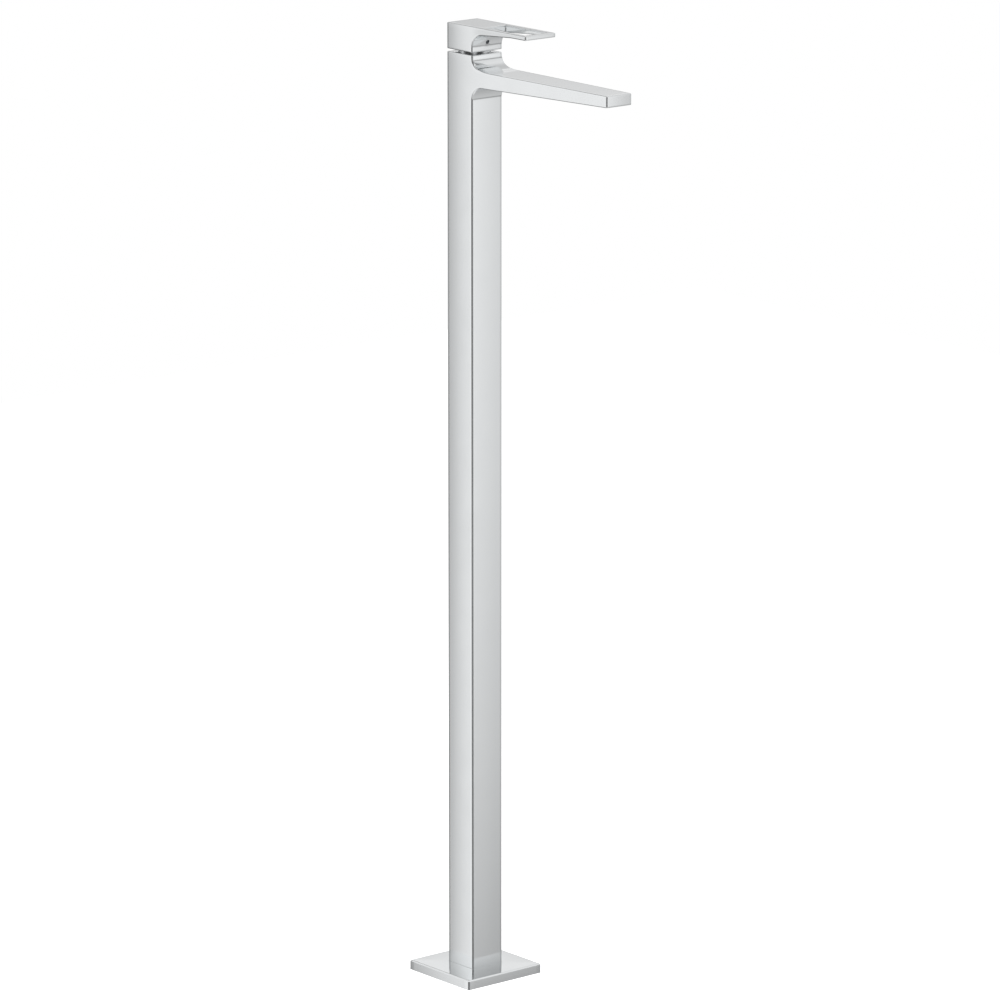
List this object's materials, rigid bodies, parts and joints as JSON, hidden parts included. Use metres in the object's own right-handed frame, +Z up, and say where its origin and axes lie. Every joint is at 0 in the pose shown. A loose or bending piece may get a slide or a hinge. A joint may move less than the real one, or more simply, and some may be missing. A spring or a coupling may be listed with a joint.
{
  "type": "floor-standing basin mixer",
  "caption": "Tall square-column single-lever basin mixer with a long flat spout, an open loop handle and a square floor cover.",
  "frame": {"origin": "on the floor under the middle of the column, at the centre of the four anchor holes", "axes": "+Z up along the column, the spout and the handle point along -Y, hot on -X and cold on +X"},
  "size_m": [0.113, 0.316, 1.155],
  "materials": {
    "polished_chrome": "polished chrome plate on brass, zinc and steel",
    "steel": "turned or galvanised steel",
    "brass": "turned raw brass",
    "copper_pipe": "drawn copper pipe",
    "white_plastic": "moulded acetal, satin",
    "grey_plastic": "moulded grey plastic, satin",
    "ceramic": "lapped alumina ceramic",
    "rubber": "moulded EPDM rubber",
    "fibre": "punched vulcanised fibre"
  },
  "bodies": {
    "root": {"aerator_housing": "grey_plastic", "aerator_insert": "grey_plastic", "aerator_seal": "rubber", "cartridge_base": "white_plastic", "cartridge_base_seals": "rubber", "cartridge_housing": "white_plastic", "cartridge_nut": "brass", "cold_supply_pipe": "copper_pipe", "cold_union_nut": "brass", "column_set_screws": "steel", "column_tube": "polished_chrome", "disc_seals": "rubber", "dome_ring": "polished_chrome", "escutcheon": "polished_chrome", "escutcheon_seal": "rubber", "fixed_ceramic_disc": "ceramic", "floor_flange": "steel", "hot_supply_pipe": "copper_pipe", "hot_union_nut": "brass", "mixer_head": "polished_chrome", "pipe_seals": "rubber", "pipe_spacers": "white_plastic", "union_washers": "fibre"},
    "swivel": {"swivel_rotor": "white_plastic", "pivot_pin": "steel"},
    "lever": {"lever_stem": "steel", "handle": "polished_chrome", "handle_grub_screw": "steel", "screw_cover_plug": "grey_plastic"},
    "disc": {"disc_carrier": "white_plastic", "moving_ceramic_disc": "ceramic"}
  },
  "joints": [
    {"name": "temperature_swivel", "type": "hinge", "parent": "root", "child": "swivel", "pos_m": [0, 0, 1.121], "axis": [0, 0, 1], "range_deg": [-50, 50]},
    {"name": "flow_lift", "type": "hinge", "parent": "swivel", "child": "lever", "pos_m": [0, 0.012, 1.122], "axis": [-1, 0, 0], "range_deg": [0, 14]},
    {"name": "disc_slide", "type": "slide", "parent": "swivel", "child": "disc", "axis": [0, -1, 0], "range_m": [0, 0.00369]}
  ],
  "couplings": [
    {"joint": "disc_slide", "follows": "flow_lift", "m_per_rad": 0.01505}
  ]
}
